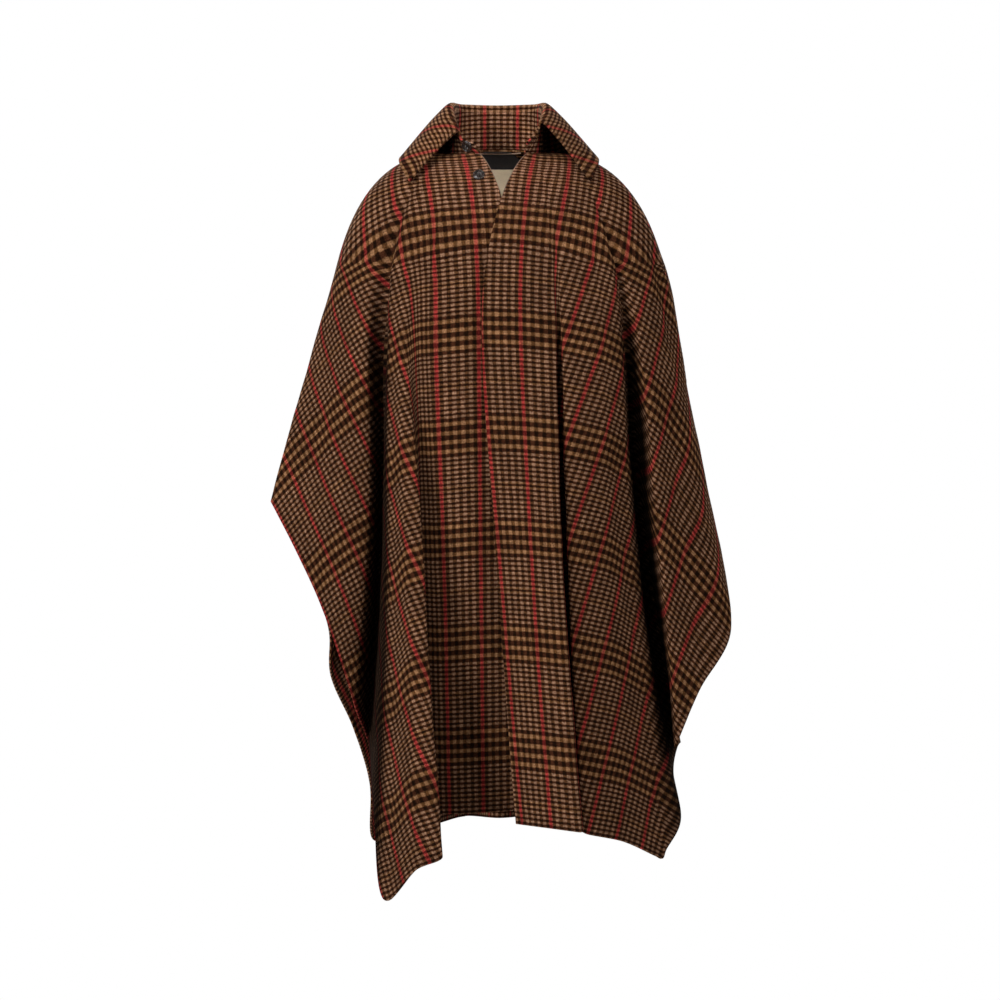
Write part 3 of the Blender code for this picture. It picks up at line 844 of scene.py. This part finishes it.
def polished_horn():
    nodes = Nodes("polished_horn")
    place = nodes.add("ShaderNodeTexCoord").outputs["Object"]
    cloudy = nodes.noise(place, HORN_SCALE, FINE_DETAIL).outputs["Fac"]
    colour = colours().horn
    warm = [min(1.0, HORN_WARM * value) for value in colour]
    nodes.set(
        Base_Color=nodes.blend(nodes.step(cloudy, *HORN_EDGES), rgba(colour), rgba(warm)),
        Roughness=nodes.math("MULTIPLY_ADD", cloudy, HORN_ROUGHER, HORN_ROUGH),
        Coat_Weight=0.4, Coat_Roughness=0.12)
    return nodes.material


# Where the red stripes and heavy rows fall on each panel
FRONT_RIGHT_SHIFT = (18.5, 21.0)
FRONT_LEFT_SHIFT = (44.0, 14.0)
BACK_SHIFT = (26.7, 8.0)
STAND_SHIFT = (-20.0, 80.0)
LEAF_SHIFT = (-20.0, 96.0)
LEAF_GOLD = 0.6
Panel = namedtuple("Panel", "name first last seams shift flat area")
PANELS = (
    Panel(
        "front_right", "under edge", "right shoulder seam", (False, True),
        FRONT_RIGHT_SHIFT, (0.60, 1.07), 0.54),
    Panel(
        "back", "right shoulder seam", "left shoulder seam", (True, True),
        BACK_SHIFT, (1.144, 1.06), 1.03),
    Panel(
        "front_left", "left shoulder seam", "lap edge", (True, False),
        FRONT_LEFT_SHIFT, (0.60, 1.06), 0.54),
)


class CAPE_OT_panels(bpy.types.Operator):
    """Build the two fronts and the back, with their folds"""
    bl_idname = "cape.panels"
    bl_label = "Panels"

    def execute(self, context):
        body = cape()
        thickness = millimetres(sizes().cloth)
        for panel in PANELS:
            columns = slice(body.column(panel.first), body.column(panel.last) + 1)
            outer = body.outer[:, columns]
            inner = outer - body.normals[:, columns] * thickness
            mesh = wall(
                drawn_in(outer, *panel.seams), drawn_in(inner, *panel.seams),
                body.cut[:, columns], sizes().rim, painted_fold_shade=body.painted_fold_shade[:, columns])
            piece = show(
                mesh, "cloth_" + panel.name, check_wool("check_" + panel.name, panel.shift),
                panel.name)
        return {"FINISHED"}


PLACKET_END = 0.9
PLACKET_RIM = 0.8


def strip(first, last, rows, depth, thickness, rim):
    """A strip of cloth inside the panels, from their points moved in."""
    body = cape()
    points = body.outer[rows, first:last + 1]
    normals = body.normals[rows, first:last + 1]
    cut = body.cut[rows, first:last + 1]
    return wall(points - normals * depth, points - normals * (depth + thickness), cut, rim)


class CAPE_OT_placket(bpy.types.Operator):
    """Build the fly placket that hides the front's buttons"""
    bl_idname = "cape.placket"
    bl_label = "Fly placket"

    def execute(self, context):
        body = cape()
        depth = millimetres(sizes().cloth) + SEAM_GAP
        rows = slice(0, SHOULDER_ROWS + round(HANG_ROWS * PLACKET_END) + 1)
        mesh = strip(
            body.column("front panel"), body.outer.shape[1] - 1, rows, depth,
            millimetres(sizes().placket_cloth), sizes().rim * PLACKET_RIM)
        piece = show(
            mesh, "cloth_placket", check_wool("check_placket", FRONT_LEFT_SHIFT),
            "fly_placket")
        return {"FINISHED"}


# Neck facing and label, as rows and lines either side of the centre back
FACING_LINES = 1.75
LABEL_LINES = 0.95
FACING_END = 1 / 3
LABEL_END = 2 / 3
FACING_CLOTH = 1.2
LABEL_CLOTH = 0.8
FACING_RIM = 0.0004
LABEL_RIM = 0.0003


class CAPE_OT_neck_inside(bpy.types.Operator):
    """Build the dark neck facing and the blank label inside the back"""
    bl_idname = "cape.neck_inside"
    bl_label = "Neck facing and label"

    def execute(self, context):
        body = cape()
        depth = millimetres(sizes().cloth) + SEAM_GAP
        facing_row = round(SHOULDER_ROWS * FACING_END)
        label_row = round(SHOULDER_ROWS * LABEL_END)
        ends = [body.column("centre back", side * FACING_LINES) for side in (-1, 1)]
        mesh = strip(*ends, slice(0, facing_row + 1), depth, FACING_CLOTH, FACING_RIM)
        facing = show(
            mesh, "neck_tape", woven("neck_tape", colours().tape, thread=0.9, roughness=0.7),
            "neck_facing")
        ends = [body.column("centre back", side * LABEL_LINES) for side in (-1, 1)]
        mesh = strip(*ends, slice(facing_row, label_row + 1), depth, LABEL_CLOTH, LABEL_RIM)
        label = show(
            mesh, "blank_label", woven("blank_label", colours().label, thread=0.7, roughness=0.6),
            "neck_label")
        return {"FINISHED"}


BEARING_STEP = 1.0
SHARE_STEP = 0.02


def panel_normal(bearing, share, on_left):
    here = on_shoulder(bearing, share, on_left)
    across = on_shoulder(bearing + BEARING_STEP, share, on_left) - here
    down = on_shoulder(bearing, share + SHARE_STEP, on_left) - here
    normal = unit(np.cross(down, across))
    return normal if normal[2] > 0 else -normal


def leaf_edge(section):
    on_left = section.edge_bearing < -180
    place = on_shoulder(section.edge_bearing, section.edge_reach, on_left)
    normal = panel_normal(section.edge_bearing, section.edge_reach, on_left)
    return place + normal * (millimetres(sizes().collar_cloth) + LEAF_CLEAR)


def rise(seam, top):
    return mix(seam, np.array(top), np.linspace(0.0, 1.0, STAND_ROWS + 1)[:, None])


def collar_grids():
    """Outside of the stand and underside of the leaf, with their normals."""
    stands, leaves = [], []
    for section in COLLAR_SECTIONS:
        roll = np.array((section.x, section.y, section.z), dtype=float)
        out = outward(roll)
        top = roll - out * ROLL_DEPTH - UP * ROLL_DROP
        edge = leaf_edge(section)
        shoulder = mix(roll, edge, ROLL_SHARE) + (out + UP) * ROLL_RISE
        stands.append(rise(neck_point(section.neck) + NECK_SEAM_RISE, top))
        points = [point[None] for point in (top, roll, shoulder, edge)]
        leaves.append(curve_through(points, [LEAF_STEPS] * 3)[0])
    ends = [
        rise(neck_point(bearing) + NECK_SEAM_RISE, top)
        for bearing, top in (STAND_RIGHT_END, STAND_LEFT_END)]
    stand = curve_through([ends[0], *stands, ends[1]], [COLLAR_STEPS] * (len(stands) + 1))
    stand_normals = normals_of(stand)
    leaf = curve_through(leaves, [COLLAR_STEPS] * (len(leaves) - 1))
    leaf_normals = normals_of(leaf)
    shared = slice(COLLAR_STEPS, -COLLAR_STEPS)
    leaf[0] = stand[-1, shared] + unit(stand[-1, shared] - stand[-2, shared]) * SEAM_GAP
    leaf_normals[0] = stand_normals[-1, shared]
    return stand, stand_normals, leaf, leaf_normals


def cut_by_length(grid):
    """Places on the flat cut by length along and down a grid, from its middle column."""
    across = np.linalg.norm(np.diff(grid, axis=1), axis=2)
    along = np.concatenate((np.zeros((len(grid), 1)), np.cumsum(across, axis=1)), axis=1)
    along = along - along[:, [grid.shape[1] // 2]]
    fall = np.linalg.norm(np.diff(grid, axis=0), axis=2)
    down = np.concatenate((np.zeros((1, grid.shape[1])), np.cumsum(fall, axis=0)))
    return np.stack((along, down), axis=2)


class CAPE_OT_collar(bpy.types.Operator):
    """Build the collar stand and the leaf that turns down over it"""
    bl_idname = "cape.collar"
    bl_label = "Collar"

    def execute(self, context):
        thickness = millimetres(sizes().collar_cloth)
        stand, stand_normals, leaf, leaf_normals = collar_grids()
        mesh = wall(
            stand, stand + stand_normals * thickness, cut_by_length(stand), sizes().rim, COLLAR_RIM_STEPS)
        piece = show(
            mesh, "cloth_collar_stand", check_wool("check_stand", STAND_SHIFT),
            "collar_stand")
        mesh = wall(
            leaf, leaf + leaf_normals * thickness, cut_by_length(leaf), sizes().rim, COLLAR_RIM_STEPS)
        piece = show(
            mesh, "cloth_collar_leaf", check_wool("check_leaf", LEAF_SHIFT, LEAF_GOLD),
            "collar_leaf")
        return {"FINISHED"}


TUBE_SIDES = 8
TUBE_TILT = 0.01


def tube(path, radius, sides=TUBE_SIDES):
    """A closed tube along a path of points in millimetres."""
    path = np.array(path, dtype=float)
    way = unit(np.gradient(path, axis=0))
    first = unit(np.cross(way, UP + TUBE_TILT))
    second = np.cross(way, first)
    turns = np.linspace(0.0, 2 * math.pi, sides + 1)
    mesh = bmesh.new()
    last = len(path) - 1
    bmesh.ops.create_grid(mesh, x_segments=sides, y_segments=last, size=0.5)
    uv = mesh.loops.layers.uv.new("cut")
    lengths = np.concatenate(([0.0], np.cumsum(np.linalg.norm(np.diff(path, axis=0), axis=1))))
    for vertex in mesh.verts:
        side = round((vertex.co.x + 0.5) * sides)
        row = round((vertex.co.y + 0.5) * last)
        ring = first[row] * math.cos(turns[side]) + second[row] * math.sin(turns[side])
        for loop in vertex.link_loops:
            loop[uv].uv = (lengths[row] * MM, side * radius * MM)
        vertex.co = (path[row] + ring * radius) * MM
    bmesh.ops.remove_doubles(mesh, verts=mesh.verts[:], dist=1e-6)
    bmesh.ops.holes_fill(mesh, edges=mesh.edges[:], sides=sides)
    bmesh.ops.recalc_face_normals(mesh, faces=mesh.faces[:])
    return mesh


PIPING_RADIUS = 0.8
PIPING_LINES = 3.6
PIPING_DROP = 1.2
EDGE_ROWS = 12
EDGE_RADIUS = 0.45
EDGE_LIFT = 0.1
EDGE_TONE = 0.45


def seam_line():
    """The seam that sags across the inside of the back's neck, over the facing."""
    body = cape()
    first, last = (body.column("centre back", side * PIPING_LINES) for side in (-1, 1))
    depth = millimetres(sizes().cloth) + SEAM_GAP + FACING_CLOTH + PIPING_RADIUS / 2
    inside = (body.outer - body.normals * depth)[:, first:last + 1]
    places = np.arange(inside.shape[1])
    drop = PIPING_DROP * (1 - np.linspace(-1.0, 1.0, len(places)) ** 2)
    upper = np.floor(drop).astype(int)
    return mix(inside[upper, places], inside[upper + 1, places], (drop - upper)[:, None])


class CAPE_OT_piping(bpy.types.Operator):
    """Build the pale piping inside the back's neck and along the neck's front edges"""
    bl_idname = "cape.piping"
    bl_label = "Neck piping"

    def execute(self, context):
        body = cape()
        pale = colours().piping
        edges = (body.outer + body.normals * EDGE_LIFT)[:EDGE_ROWS]
        material = woven("pale_piping", pale, thread=0.8, roughness=0.75)
        show(tube(seam_line(), PIPING_RADIUS), "neck_piping", material)
        dimmed = [EDGE_TONE * value for value in pale]
        material = woven("edge_piping", dimmed, thread=0.8, roughness=0.85)
        for name, column in (("edge_piping_left", -1), ("edge_piping_right", 0)):
            show(tube(edges[:, column], EDGE_RADIUS), name, material)
        return {"FINISHED"}


# Buttons: place on the right front, and on the stand by column and row
BUTTON_FRONT_PLACE = (-4.0, 0.33)
BUTTON_SEAT = 0.8
BUTTON_THICKNESS = 3.6
BUTTON_SIDES = 48
BUTTON_STAND_COLUMN = 2 / 3
BUTTON_STAND_ROW = 2 / 3
BUTTON_FLOOR = 0.58
BUTTON_FLOOR_RADIUS = 0.74
HOLE_RADIUS = 0.95
HOLE_PLACE = 2.0
HOLE_SIDES = 16
THREAD_RADIUS = 0.42
THREAD_STEPS = 12
THREAD_RISE = 0.55
THREAD_DIP = 0.5

# The button's rim in section: shares of its radius and of its thickness
BUTTON_RIM = (
    (0.70, 0.0), (0.90, 0.0), (0.98, 0.20), (1.0, 0.48), (0.97, 0.80),
    (0.90, 0.97), (0.83, 1.0), (0.76, 0.90), (0.72, 0.70), (0.70, 0.55),
)


def button_mesh(place, normal):
    """A dished button with a rounded rim, four holes and crossed thread."""
    radius = millimetres(sizes().button_radius)
    mesh = bmesh.new()
    bmesh.ops.create_circle(mesh, segments=BUTTON_SIDES, radius=radius * BUTTON_FLOOR_RADIUS)
    for turn in range(4):
        angle = math.pi / 4 + turn * math.pi / 2
        centre = Vector((math.cos(angle), math.sin(angle), 0.0)) * HOLE_PLACE
        bmesh.ops.create_circle(
            mesh, segments=HOLE_SIDES, radius=HOLE_RADIUS, matrix=Matrix.Translation(centre))
    bmesh.ops.triangle_fill(mesh, use_beauty=True, edges=mesh.edges[:], normal=(0.0, 0.0, 1.0))
    floor = bmesh.ops.extrude_face_region(mesh, geom=mesh.faces[:], use_keep_orig=True)
    raised = [item for item in floor["geom"] if isinstance(item, bmesh.types.BMVert)]
    bmesh.ops.translate(mesh, verts=raised, vec=(0.0, 0.0, BUTTON_THICKNESS * BUTTON_FLOOR))
    ring = [
        mesh.verts.new((share * radius, 0.0, level * BUTTON_THICKNESS)) for share, level in BUTTON_RIM]
    edges = [mesh.edges.new(pair) for pair in zip(ring, ring[1:] + ring[:1])]
    bmesh.ops.spin(
        mesh, geom=ring + edges, cent=(0.0, 0.0, 0.0), axis=(0.0, 0.0, 1.0),
        angle=2 * math.pi, steps=BUTTON_SIDES, use_merge=True)
    bmesh.ops.remove_doubles(mesh, verts=mesh.verts[:], dist=1e-4)
    bmesh.ops.recalc_face_normals(mesh, faces=mesh.faces[:])
    turn = Vector(normal).to_track_quat("Z", "Y").to_matrix().to_4x4()
    seat = Vector(place + normal * BUTTON_SEAT)
    placed = Matrix.Translation(seat) @ turn
    bmesh.ops.transform(mesh, verts=mesh.verts[:], matrix=Matrix.Scale(MM, 4) @ placed)
    return mesh, placed


def thread_mesh(frame_of_button):
    """Two crossed stitches through a button's holes."""
    joined = bmesh.new()
    for turn in (1, -1):
        path = []
        for step in range(THREAD_STEPS + 1):
            share = 2 * step / THREAD_STEPS - 1
            level = BUTTON_THICKNESS * BUTTON_FLOOR
            level += THREAD_RISE * (1 - share ** 4) - THREAD_DIP * share ** 8
            flat = share * HOLE_PLACE * math.sqrt(0.5)
            path.append(frame_of_button @ Vector((flat, flat * turn, level)))
        part = tube([tuple(point) for point in path], THREAD_RADIUS)
        data = bpy.data.meshes.new("stitch")
        part.to_mesh(data)
        part.free()
        joined.from_mesh(data)
        bpy.data.meshes.remove(data)
    return joined


class CAPE_OT_buttons(bpy.types.Operator):
    """Build the two buttons, each sewn on with crossed thread"""
    bl_idname = "cape.buttons"
    bl_label = "Buttons"

    def execute(self, context):
        stand, normals, _, _ = collar_grids()
        column = round(COLLAR_STEPS * BUTTON_STAND_COLUMN)
        row = round(STAND_ROWS * BUTTON_STAND_ROW)
        on_front = (*BUTTON_FRONT_PLACE, False)
        places = {
            "button_front": (on_shoulder(*on_front), panel_normal(*on_front)),
            "button_collar": (stand[row, column], -unit(normals[row, column])),
        }
        horn = polished_horn()
        thread = woven("button_thread", colours().tape, thread=0.5, roughness=0.8)
        for name, (place, normal) in places.items():
            mesh, turned = button_mesh(place, normal)
            show(mesh, "horn_" + name, horn, name)
            show(thread_mesh(turned), "thread_" + name, thread)
        return {"FINISHED"}


# Stage
FLOOR_LEVEL = -1.75
FLOOR_RADIUS = 0.7
FLOOR_SIDES = 96
FLOOR_CLOUD_SCALE = 3.0
FLOOR_DARK = 0.97
LIGHT_ACROSS = 3.1
LIGHT_AHEAD = -2.7
LIGHT_HEIGHT = 1.6
LIGHT_SIZE = 1.5
LIGHT_TARGET = (0.0, 0.0, -0.5)
HIGH_LIGHT_PLACE = (-1.2, -3.4, 2.9)
BACK_LIGHT_ACROSS = 1.6
BACK_LIGHT_BEHIND = 3.6
NECK_LIGHT_PLACE = (0.02, -1.6, 0.55)
NECK_LIGHT_TARGET = (0.01, 0.08, -0.01)
NECK_LIGHT_SIZE = 0.12
NECK_LIGHT_SPREAD = math.radians(12.0)
CAMERA_PLACE = (0.0045, -5.0, -0.5025)
CAMERA_LENS = 120.0
CAMERA_SENSOR = 36.0


class CapeStage(bpy.types.PropertyGroup):
    room_light: FloatProperty(
        name="Room light", description="Strength of the even white light all round",
        default=0.10, min=0.0, max=4.0)
    right_light: power_property("Right light", "Power of the soft light at the wearer's right", 165.0)
    left_light: power_property("Left light", "Power of the soft light at the wearer's left", 85.0)
    high_light: power_property("High light", "Power of the soft light above the front", 42.0)
    back_light: power_property("Back light", "Power of each of the two soft lights behind", 95.0)
    neck_light: power_property("Neck light", "Power of the narrow light into the neck", 0.06)


def soft_light(name, place, target, size, power, spread=math.pi):
    data = bpy.data.lights.new(name, "AREA")
    data.shape = "DISK"
    data.size = size
    data.energy = power
    data.spread = spread
    item = bpy.data.objects.new(name, data)
    item.location = place
    item.rotation_euler = (Vector(target) - Vector(place)).to_track_quat("-Z", "Y").to_euler()
    bpy.context.scene.collection.objects.link(item)


def floor_material():
    nodes = Nodes("pale_floor")
    place = nodes.add("ShaderNodeTexCoord").outputs["Object"]
    cloudy = nodes.noise(place, FLOOR_CLOUD_SCALE).outputs["Fac"]
    colour = colours().floor
    dimmed = [FLOOR_DARK * value for value in colour]
    nodes.set(Base_Color=nodes.blend(cloudy, rgba(dimmed), rgba(colour)), Roughness=0.9)
    return nodes.material


def white_room(strength):
    """A world that looks white and lights the cape softly from all round."""
    world = bpy.data.worlds.new("white_room")
    world.use_nodes = True
    tree = world.node_tree
    light = tree.nodes["Background"]
    light.inputs["Color"].default_value = (1.0, 1.0, 1.0, 1.0)
    light.inputs["Strength"].default_value = strength
    white = tree.nodes.new("ShaderNodeBackground")
    white.inputs["Color"].default_value = (1.0, 1.0, 1.0, 1.0)
    seen = tree.nodes.new("ShaderNodeLightPath")
    either = tree.nodes.new("ShaderNodeMixShader")
    tree.links.new(seen.outputs["Is Camera Ray"], either.inputs[0])
    tree.links.new(light.outputs[0], either.inputs[1])
    tree.links.new(white.outputs[0], either.inputs[2])
    tree.links.new(either.outputs[0], tree.nodes["World Output"].inputs["Surface"])
    return world


class CAPE_OT_stage(bpy.types.Operator):
    """Set up the floor, the room, the lights and the camera"""
    bl_idname = "cape.stage"
    bl_label = "Stage"

    def execute(self, context):
        scene = context.scene
        lights = scene.cape_stage
        mesh = bmesh.new()
        bmesh.ops.create_circle(mesh, cap_ends=True, segments=FLOOR_SIDES, radius=FLOOR_RADIUS)
        bmesh.ops.translate(mesh, verts=mesh.verts[:], vec=(0.0, 0.0, FLOOR_LEVEL))
        data = bpy.data.meshes.new("floor")
        mesh.to_mesh(data)
        mesh.free()
        data.materials.append(floor_material())
        floor = bpy.data.objects.new("floor", data)
        scene.collection.objects.link(floor)
        scene.world = white_room(lights.room_light)
        for side, name, power in ((-1, "right", lights.right_light), (1, "left", lights.left_light)):
            front = (side * LIGHT_ACROSS, LIGHT_AHEAD, LIGHT_HEIGHT)
            behind = (side * BACK_LIGHT_ACROSS, BACK_LIGHT_BEHIND, LIGHT_HEIGHT)
            soft_light(name + "_light", front, LIGHT_TARGET, LIGHT_SIZE, power)
            soft_light(name + "_back_light", behind, LIGHT_TARGET, LIGHT_SIZE, lights.back_light)
        soft_light("high_light", HIGH_LIGHT_PLACE, LIGHT_TARGET, LIGHT_SIZE, lights.high_light)
        soft_light(
            "neck_light", NECK_LIGHT_PLACE, NECK_LIGHT_TARGET, NECK_LIGHT_SIZE, lights.neck_light,
            NECK_LIGHT_SPREAD)
        data = bpy.data.cameras.new("camera")
        data.lens = CAMERA_LENS
        data.sensor_width = CAMERA_SENSOR
        camera = bpy.data.objects.new("camera", data)
        camera.location = CAMERA_PLACE
        camera.rotation_euler = (math.pi / 2, 0.0, 0.0)
        scene.collection.objects.link(camera)
        scene.camera = camera
        scene.view_settings.view_transform = "Standard"
        return {"FINISHED"}


class CAPE_PT_sidebar(bpy.types.Panel):
    """Steps that build the cape"""
    bl_idname = "CAPE_PT_sidebar"
    bl_label = "Blanket Cape"
    bl_space_type = "VIEW_3D"
    bl_region_type = "UI"
    bl_category = "Cape"

    def draw(self, context):
        for step in STEPS:
            self.layout.operator(step.bl_idname)
        for group in (context.scene.cape_sizes, context.scene.cape_colours, context.scene.cape_stage):
            column = self.layout.column(align=True)
            for name in group.__annotations__:
                column.prop(group, name)


STEPS = (
    CAPE_OT_stage, CAPE_OT_panels, CAPE_OT_placket, CAPE_OT_neck_inside,
    CAPE_OT_collar, CAPE_OT_piping, CAPE_OT_buttons,
)
CLASSES = (CapeSizes, CapeColours, CapeStage, *STEPS, CAPE_PT_sidebar)


def register():
    for item in CLASSES:
        bpy.utils.register_class(item)
    bpy.types.Scene.cape_sizes = PointerProperty(type=CapeSizes)
    bpy.types.Scene.cape_colours = PointerProperty(type=CapeColours)
    bpy.types.Scene.cape_stage = PointerProperty(type=CapeStage)


def unregister():
    del bpy.types.Scene.cape_stage
    del bpy.types.Scene.cape_colours
    del bpy.types.Scene.cape_sizes
    for item in reversed(CLASSES):
        bpy.utils.unregister_class(item)


def main():
    register()
    bpy.ops.cape.stage()
    bpy.ops.cape.panels()
    bpy.ops.cape.placket()
    bpy.ops.cape.neck_inside()
    bpy.ops.cape.collar()
    bpy.ops.cape.piping()
    bpy.ops.cape.buttons()


if __name__ == "__main__":
    main()
